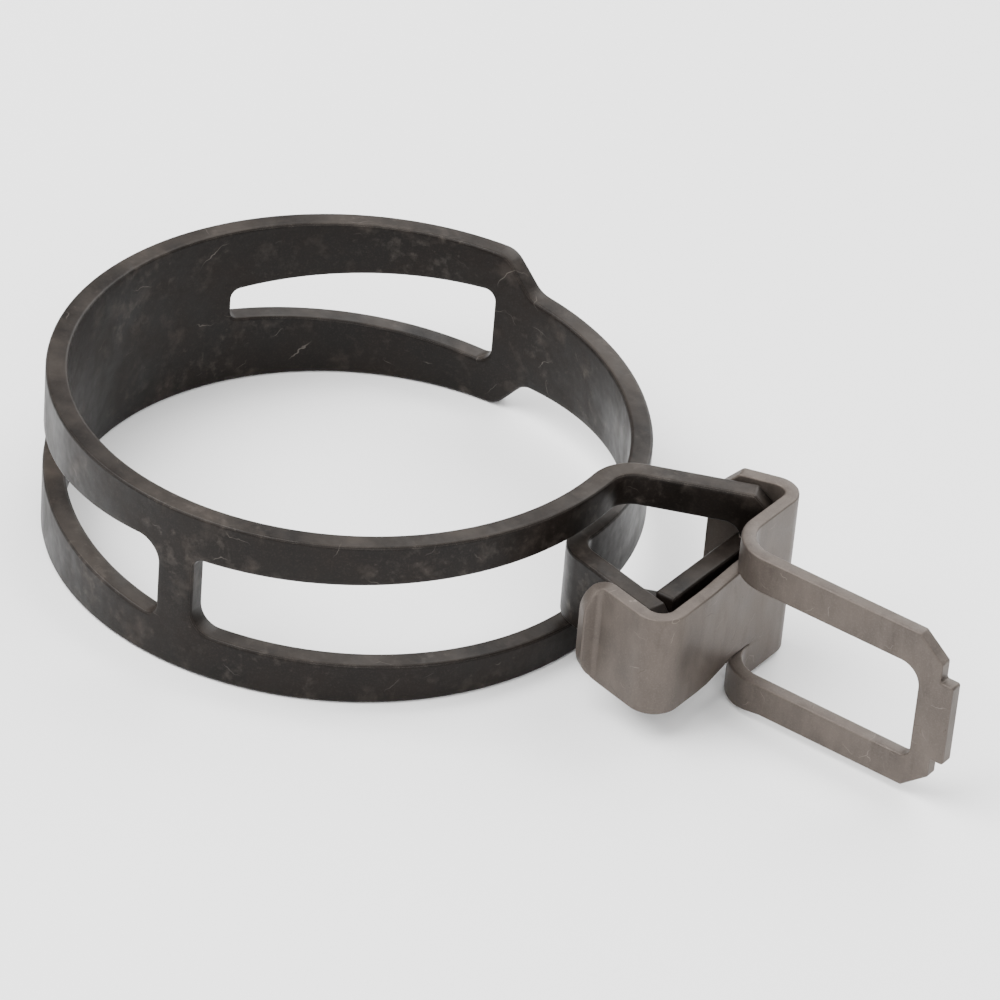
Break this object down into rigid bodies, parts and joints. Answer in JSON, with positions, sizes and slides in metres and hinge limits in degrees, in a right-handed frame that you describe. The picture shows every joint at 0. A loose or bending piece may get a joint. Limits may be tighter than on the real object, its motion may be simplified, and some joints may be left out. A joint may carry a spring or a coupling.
{
  "type": "spring band hose clamp",
  "caption": "Pre-opened spring-steel band hose clamp, slotted band with interlaced ears held open by a bent sheet-steel retaining clip with a pull loop.",
  "frame": {"origin": "centre of the bore at mid height of the band, as held open", "axes": "+Z along the bore axis, +X from the bore centre through the ears in the direction the clip is pulled off"},
  "size_m": [0.0834, 0.0498, 0.0152],
  "materials": {
    "spring_steel": "black phosphated spring steel, scuffed brighter on punched edges",
    "clip_steel": "dull warm-grey oiled sheet steel with fine rolling marks"
  },
  "bodies": {
    "band_back": {"band_back": "spring_steel"},
    "window_arm": {"band_window_arm": "spring_steel"},
    "tongue_arm": {"band_tongue_arm": "spring_steel"},
    "clip": {"retaining_clip": "clip_steel"}
  },
  "joints": [
    {"name": "clip_pull", "type": "slide", "parent": "band_back", "child": "clip", "axis": [1, 0, 0], "range_m": [0, 0.045], "deforming": ["retaining_clip"]},
    {"name": "window_arm_close", "type": "hinge", "parent": "band_back", "child": "window_arm", "pos_m": [-0.01107, -0.02027, 0], "axis": [0, 0, 1], "range_deg": [0, 9.02]},
    {"name": "tongue_arm_close", "type": "hinge", "parent": "band_back", "child": "tongue_arm", "pos_m": [-0.01315, 0.01899, 0], "axis": [0, 0, -1], "range_deg": [0, 9.02]}
  ],
  "couplings": [
    {"joint": "window_arm_close", "follows": "clip_pull", "rad_per_m": 3.4907},
    {"joint": "tongue_arm_close", "follows": "clip_pull", "rad_per_m": 3.4907}
  ]
}
